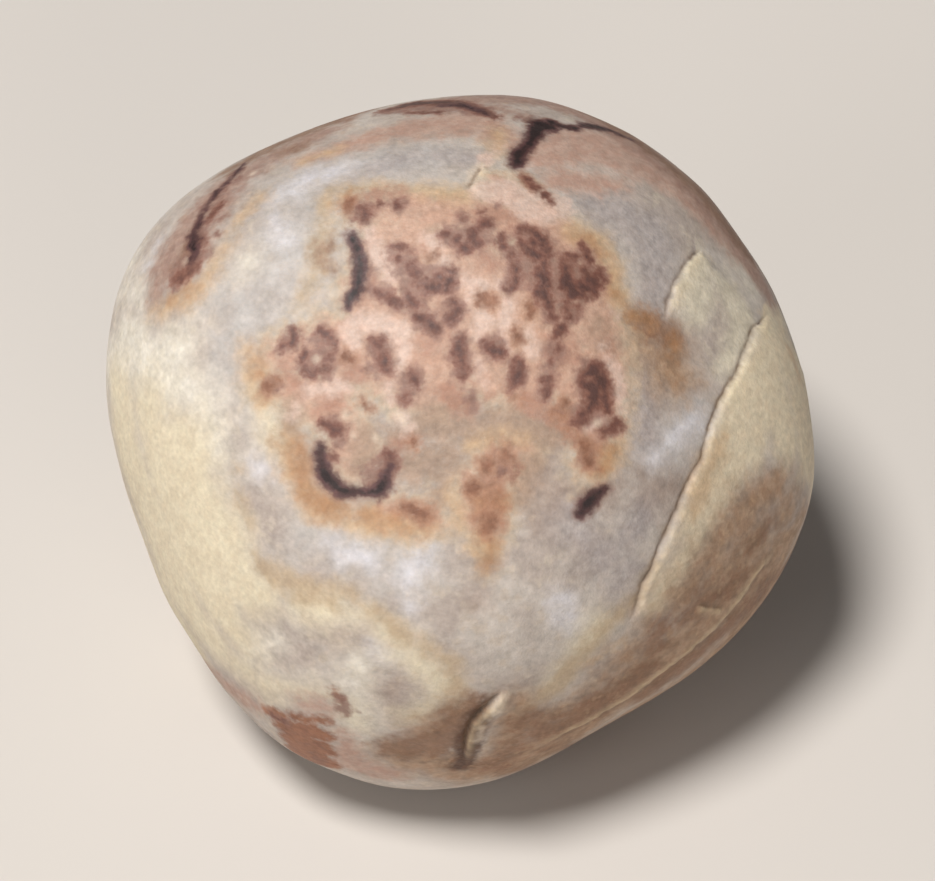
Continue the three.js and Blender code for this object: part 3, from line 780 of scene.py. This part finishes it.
class Graph:
    """Adds nodes to a material and joins them."""

    def __init__(self, name):
        self.material = bpy.data.materials.new(name)
        self.material.use_nodes = True
        self.nodes = self.material.node_tree.nodes
        self.links = self.material.node_tree.links
        self.shader = self.nodes["Principled BSDF"]

    def add(self, kind, settings=(), **inputs):
        node = self.nodes.new("ShaderNode" + kind)
        for key, value in dict(settings).items():
            setattr(node, key, value)
        for key, value in inputs.items():
            self.feed(node.inputs[key.replace("_", " ")], value)
        return node

    def feed(self, socket, value):
        if isinstance(value, bpy.types.NodeSocket):
            self.links.new(value, socket)
        else:
            socket.default_value = value

    def math(self, operation, *values):
        node = self.add("Math", {"operation": operation})
        for socket, value in zip(node.inputs, values):
            self.feed(socket, value)
        return node.outputs[0]

    def plus(self, base, value, scale):
        return self.math("MULTIPLY_ADD", value, scale, base)

    def mix(self, share, first, second):
        node = self.add("Mix", {"data_type": "RGBA"})
        self.feed(node.inputs[0], share)
        self.feed(node.inputs[6], first)
        self.feed(node.inputs[7], second)
        return node.outputs[2]

    def ramp(self, value, low, high, to_low=0.0, to_high=1.0):
        node = self.add("MapRange", {"interpolation_type": "SMOOTHSTEP"})
        for socket, number in zip(node.inputs, (value, low, high, to_low, to_high)):
            self.feed(socket, number)
        return node.outputs[0]

    def field(self, name):
        return self.add("Attribute", {"attribute_name": name}).outputs["Fac"]

    def noise(self, place, size_mm, detail):
        """Three independent noises, each from -1 to 1 or so, at a size in millimetres."""
        node = self.add("TexNoise", Vector=place, Scale=1 / (size_mm * MM), Detail=detail)
        parts = self.add("SeparateColor", Color=node.outputs["Color"]).outputs
        return [self.math("MULTIPLY_ADD", part, 2 * NOISE_GAIN, -NOISE_GAIN) for part in parts]


# How a kind of mark is coloured, in 0 to 255 screen values. Noise moves between the tone and the other
# tone. The border fades out over soft millimetres each way, and coarse to fine noise moves it by the
# four reaches of wobble. A halo spreads farther out and has a tone, a reach in millimetres and a share.
# A core lies deeper inside and has a tone and the two depths between which it comes in.
Tint = namedtuple("Tint", "tone other soft wobble share halo core", defaults=(None, None))
TINTS = {
    "lavender_and_sheen": Tint((180, 173, 168), (172, 163, 157), 2, (1.2, 0.4, 0.1, 0), 0.85),
    "taupe": Tint((150, 131, 119), (160, 142, 130), 1.4, (0.8, 0.4, 0.2, 0), 0.9),
    "ivory": Tint((218, 210, 196), (209, 200, 184), 1.8, (0.5, 0.3, 0.1, 0), 0.9),
    "frost_and_sheen": Tint((213, 209, 213), (201, 196, 197), 1.1, (0.5, 0.4, 0.1, 0), 0.72),
    "slate": Tint((169, 159, 156), (157, 146, 142), 1.5, (1, 0.4, 0.1, 0), 0.8),
    "cream": Tint((215, 202, 175), (208, 193, 166), 1.8, (0.7, 0.25, 0.1, 0), 0.95),
    "sand": Tint((181, 157, 126), (172, 148, 119), 0.8, (0.4, 0.4, 0.2, 0), 0.75),
    "olive": Tint((217, 202, 175), (207, 190, 163), 1.1, (0.6, 0.3, 0.1, 0), 0.95),
    "sage": Tint((212, 201, 180), (202, 191, 170), 1, (0.5, 0.4, 0.1, 0), 0.9),
    "fawn": Tint((182, 152, 136), (170, 136, 120), 1, (0.4, 0.3, 0.3, 0.1), 0.92),
    "chestnut": Tint((164, 134, 119), (146, 114, 101), 1, (0.4, 0.5, 0.3, 0.1), 0.85),
    "tan": Tint((163, 134, 109), (150, 119, 93), 1.9, (0.8, 0.6, 0.2, 0), 0.95),
    "umber_and_rim_shade": Tint((135, 101, 77), (122, 88, 66), 1, (0.5, 0.5, 0.3, 0.1), 0.85),
    "salmon": Tint(
        (187, 152, 132), (176, 139, 119), 0.9, (0.6, 0.5, 0.3, 0.1), 0.95,
        ((188, 165, 136), 1.8, 0.65),
    ),
    "khaki": Tint((159, 133, 114), (151, 126, 107), 1, (0.5, 0.5, 0.2, 0.1), 0.9),
    "rose": Tint((168, 129, 110), (157, 117, 98), 0.6, (0.3, 0.35, 0.3, 0.1), 0.85),
    "blush": Tint((207, 182, 168), (199, 171, 156), 0.5, (0.2, 0.3, 0.2, 0.1), 0.8),
    "amber": Tint((192, 162, 127), (184, 152, 118), 0.9, (0.3, 0.4, 0.2, 0), 0.75),
    "ochre": Tint((167, 126, 89), (156, 114, 79), 0.95, (0.3, 0.3, 0.25, 0.1), 0.85),
    "terracotta": Tint((158, 116, 92), (146, 104, 80), 0.6, (0.2, 0.3, 0.3, 0.1), 0.8),
    "rust": Tint((146, 93, 63), (129, 78, 51), 0.4, (0.1, 0.2, 0.2, 0.1), 0.9),
    "bottom_crevice_shade": Tint((78, 50, 35), (96, 65, 46), 0.5, (0.1, 0.2, 0.2, 0.1), 0.95),
    "mauve": Tint((140, 108, 96), (127, 94, 83), 0.4, (0.15, 0.3, 0.3, 0.1), 0.85),
    "sienna": Tint(
        (138, 97, 75), (122, 81, 61), 0.3, (0.05, 0.12, 0.18, 0.1), 0.9,
        ((166, 126, 101), 0.6, 0.5),
    ),
    "maroon": Tint(
        (124, 84, 71), (109, 70, 59), 0.26, (0.05, 0.14, 0.22, 0.12), 0.95,
        ((150, 113, 98), 0.5, 0.5), ((80, 53, 48), 0.1, 0.65),
    ),
    "indigo": Tint(
        (70, 43, 42), (86, 57, 56), 0.18, (0, 0.08, 0.15, 0.08), 0.95,
        ((118, 84, 74), 0.5, 0.6), ((28, 14, 17), 0.14, 0.5),
    ),
    "milky_specks_and_glints": Tint((212, 194, 174), (204, 185, 165), 0.3, (0, 0.1, 0.1, 0.05), 0.6),
}
GROUND = ((170, 156, 146), (187, 176, 166), (185, 171, 157))
GROUND_SHIFTS = ((-0.5, 0.5), (0.0, 0.8))  # of noise, that bring in its second and third tone
TONE_SHIFT = (-0.7, 0.7)  # of noise, from a mark's one tone to the other
LIP_AND_HIGHLIGHT_TONE = (225, 205, 168)  # pale worn edges of the steps, with a painted highlight where they catch the light
LIP_AND_HIGHLIGHT_BREAKUP = (-0.9, 0.6, 0.35, 0.8)  # a range of noise, and how much of the lip and its painted highlight it leaves
CREVICE_SHADE_TONE = (120, 98, 78)  # painted shade along the steps' feet
CREVICE_SHADE_BREAKUP = (-0.9, 0.5, 0.3, 0.8)
SPECKS = (((118, 84, 64), 0.45), ((192, 162, 130), 0.28))  # dark and pale, on the tan parts
SPECK_NOISE = 0.6  # the share of each of their two noises
SPECK_SHIFT = (0.2, 0.9)
TAN_DEPTHS = (-0.5, 1.5)  # over which the specks come in
MOTTLE = (0.09, 0.09, 0.08, 0.03)  # by the middling, small, fine and coarse noise
MOTTLED = (("slate", 0.8), ("tan", 0.9), ("salmon", 0.4), ("cream", -0.7))  # how much more of it
MOTTLED_DEPTHS = (-1.5, 1.0)
ROUGHNESS = (0.6, 0.06, 0.04)  # its mean, and its change by the fine and the middling noise
SHADER = {
    "IOR": 1.54,
    "Specular IOR Level": 0.35,
    "Subsurface Weight": 0.12,
    "Subsurface Radius": (1.0, 0.75, 0.5),
    "Subsurface Scale": 1.2 * MM,
}
BUMP_STRENGTH = 0.25
BUMP_DEPTH = 0.05 * MM
BUMP_NOISE = (0.6, 0.4)  # the shares of the fine noise and the pits
# Each noise's size in millimetres and its detail: coarse, middling, small and fine, then the pits.
NOISES = ((4.0, 2.0), (1.1, 2.0), (0.6, 2.0), (0.35, 1.0))
PITS = (0.16, 1.0)


def jasper_material():
    graph = Graph("jasper")
    place = graph.add("TexCoord").outputs["Object"]
    noises = [graph.noise(place, size, detail) for size, detail in NOISES]
    coarse, middling, small, fine = noises

    first, second, third = (linear(*tone) for tone in GROUND)
    colour = graph.mix(graph.ramp(coarse[0], *GROUND_SHIFTS[0]), first, second)
    colour = graph.mix(graph.ramp(middling[1], *GROUND_SHIFTS[1]), colour, third)
    for index, (name, tint) in enumerate(TINTS.items()):
        depth = graph.field(name)
        for parts, reach in zip(noises, tint.wobble):
            if reach:
                depth = graph.plus(depth, parts[index % 3], reach)
        if tint.halo:
            tone, reach, share = tint.halo
            colour = graph.mix(graph.ramp(depth, -reach, 0.0, 0.0, share), colour, linear(*tone))
        tones = graph.plus(middling[(index + 1) % 3], small[index % 3], 0.8)
        tones = graph.ramp(tones, *TONE_SHIFT)
        tone = graph.mix(tones, linear(*tint.tone), linear(*tint.other))
        if tint.core:
            deep, start, end = tint.core
            tone = graph.mix(graph.ramp(depth, start, end), tone, linear(*deep))
        colour = graph.mix(graph.ramp(depth, -tint.soft, tint.soft, 0.0, tint.share), colour, tone)

    # The steps' lips: pale worn edges with a painted highlight along them.
    worn = graph.ramp(middling[0], *LIP_AND_HIGHLIGHT_BREAKUP)
    lip = graph.math("MULTIPLY", graph.field("lip"), worn)
    colour = graph.mix(lip, colour, linear(*LIP_AND_HIGHLIGHT_TONE))
    # Painted shade in the crevices along the steps' feet, broken up by noise.
    worn = graph.ramp(middling[1], *CREVICE_SHADE_BREAKUP)
    crevice = graph.math("MULTIPLY", graph.field("crevice"), worn)
    colour = graph.mix(crevice, colour, linear(*CREVICE_SHADE_TONE))

    tan = graph.ramp(graph.field("tan"), *TAN_DEPTHS)
    for part, (tone, share) in enumerate(SPECKS):
        grains = graph.math("MULTIPLY", small[part], SPECK_NOISE)
        grains = graph.plus(grains, middling[2 - part], SPECK_NOISE)
        grains = graph.math("MULTIPLY", graph.ramp(grains, *SPECK_SHIFT, 0.0, share), tan)
        colour = graph.mix(grains, colour, linear(*tone))

    # Mottling: the stone's own fine grain, lighter and darker, and stronger in some kinds.
    strength = 1.0
    for name, change in MOTTLED:
        strength = graph.plus(strength, graph.ramp(graph.field(name), *MOTTLED_DEPTHS), change)
    mottle = graph.math("MULTIPLY", middling[2], MOTTLE[0])
    mottle = graph.plus(mottle, small[0], MOTTLE[1])
    mottle = graph.math("MULTIPLY", mottle, strength)
    mottle = graph.plus(mottle, fine[1], MOTTLE[2])
    mottle = graph.plus(mottle, coarse[1], MOTTLE[3])
    shade = graph.add("VectorMath", {"operation": "SCALE"})
    graph.feed(shade.inputs[0], colour)
    graph.feed(shade.inputs["Scale"], graph.math("ADD", mottle, 1.0))
    graph.feed(graph.shader.inputs["Base Color"], shade.outputs[0])

    roughness = graph.plus(ROUGHNESS[0], fine[2], ROUGHNESS[1])
    roughness = graph.plus(roughness, middling[1], ROUGHNESS[2])
    graph.feed(graph.shader.inputs["Roughness"], roughness)
    for name, value in SHADER.items():
        graph.shader.inputs[name].default_value = value

    pits = graph.noise(place, *PITS)
    relief = graph.plus(graph.math("MULTIPLY", fine[0], BUMP_NOISE[0]), pits[0], BUMP_NOISE[1])
    bump = graph.add("Bump", Strength=BUMP_STRENGTH, Distance=BUMP_DEPTH, Height=relief)
    graph.feed(graph.shader.inputs["Normal"], bump.outputs[0])
    return graph.material


# ---- floor, light and camera ----

FLOOR_SIDE = 3.0
FLOOR_DROP = 0.01 * MM  # below the patch that the stone rests on
FLOOR_TONE = (204, 197, 190)
FLOOR_ROUGHNESS = 0.6


def make_floor():
    mesh = bpy.data.meshes.new("floor")
    half = FLOOR_SIDE / 2
    corners = [(-half, -half, 0), (half, -half, 0), (half, half, 0), (-half, half, 0)]
    mesh.from_pydata(corners, [], [(0, 1, 2, 3)])
    floor = add_object("floor", mesh)
    floor.location.z = -FLOOR_DROP
    graph = Graph("floor")
    graph.shader.inputs["Base Color"].default_value = linear(*FLOOR_TONE)
    graph.shader.inputs["Roughness"].default_value = FLOOR_ROUGHNESS
    mesh.materials.append(graph.material)
    return floor


LIGHTS = (  # name, place, the disk's width in metres, watts and colour
    ("key", (-0.4, -0.15, 1.37), 0.42, 22.5, (1.0, 0.99, 0.97)),
    ("front", (0.5, -1.3, 0.35), 0.8, 6.0, (1.0, 0.98, 0.96)),
    ("left", (-1.15, -0.95, 0.6), 0.8, 5.2, (0.97, 0.98, 1.0)),
)
LIGHT_TARGET = (0, 0, 0.015)
SKY_COLOUR = (0.93, 0.96, 1.0, 1.0)
SKY_STRENGTH = 0.06


def make_light(name, place, size, power, colour):
    lamp = bpy.data.lights.new(name, "AREA")
    lamp.shape = "DISK"
    lamp.size = size
    lamp.energy = power
    lamp.color = colour
    light = add_object(name, lamp)
    light.location = place
    aim = Vector(LIGHT_TARGET) - Vector(place)
    light.rotation_euler = aim.to_track_quat("-Z", "Y").to_euler()


def make_lights():
    for light in LIGHTS:
        make_light(*light)
    world = bpy.data.worlds.new("studio")
    world.use_nodes = True
    background = world.node_tree.nodes["Background"]
    background.inputs["Color"].default_value = SKY_COLOUR
    background.inputs["Strength"].default_value = SKY_STRENGTH
    bpy.context.scene.world = world


SENSOR_MM = 36.0
NEAREST = 0.01  # what the camera sees, in metres from it
FARTHEST = 20


def make_camera():
    data = bpy.data.cameras.new("camera")
    data.sensor_width = SENSOR_MM
    data.lens = EYE_DISTANCE * PIXELS_PER_MM * SENSOR_MM / PICTURE[0]
    data.clip_start = NEAREST
    data.clip_end = FARTHEST
    camera = add_object("camera", data)
    right, up, out = (Vector(axis) for axis in AXES)
    # CENTRE shows a little off the picture's middle, so the camera stands that far to the side.
    aside = (PICTURE[0] / 2 - MIDDLE_PIXEL[0]) / PIXELS_PER_MM
    below = (PICTURE[1] / 2 - MIDDLE_PIXEL[1]) / PIXELS_PER_MM
    camera.location = (Vector(CENTRE) + out * EYE_DISTANCE + right * aside - up * below) * MM
    camera.rotation_euler = Matrix(AXES.T.tolist()).to_euler()
    bpy.context.scene.camera = camera


stone = make_stone()
stone.data.materials.append(jasper_material())
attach(stone, "root")
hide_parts(NODE)
make_floor()
make_lights()
make_camera()
bpy.context.scene.view_settings.view_transform = "Standard"
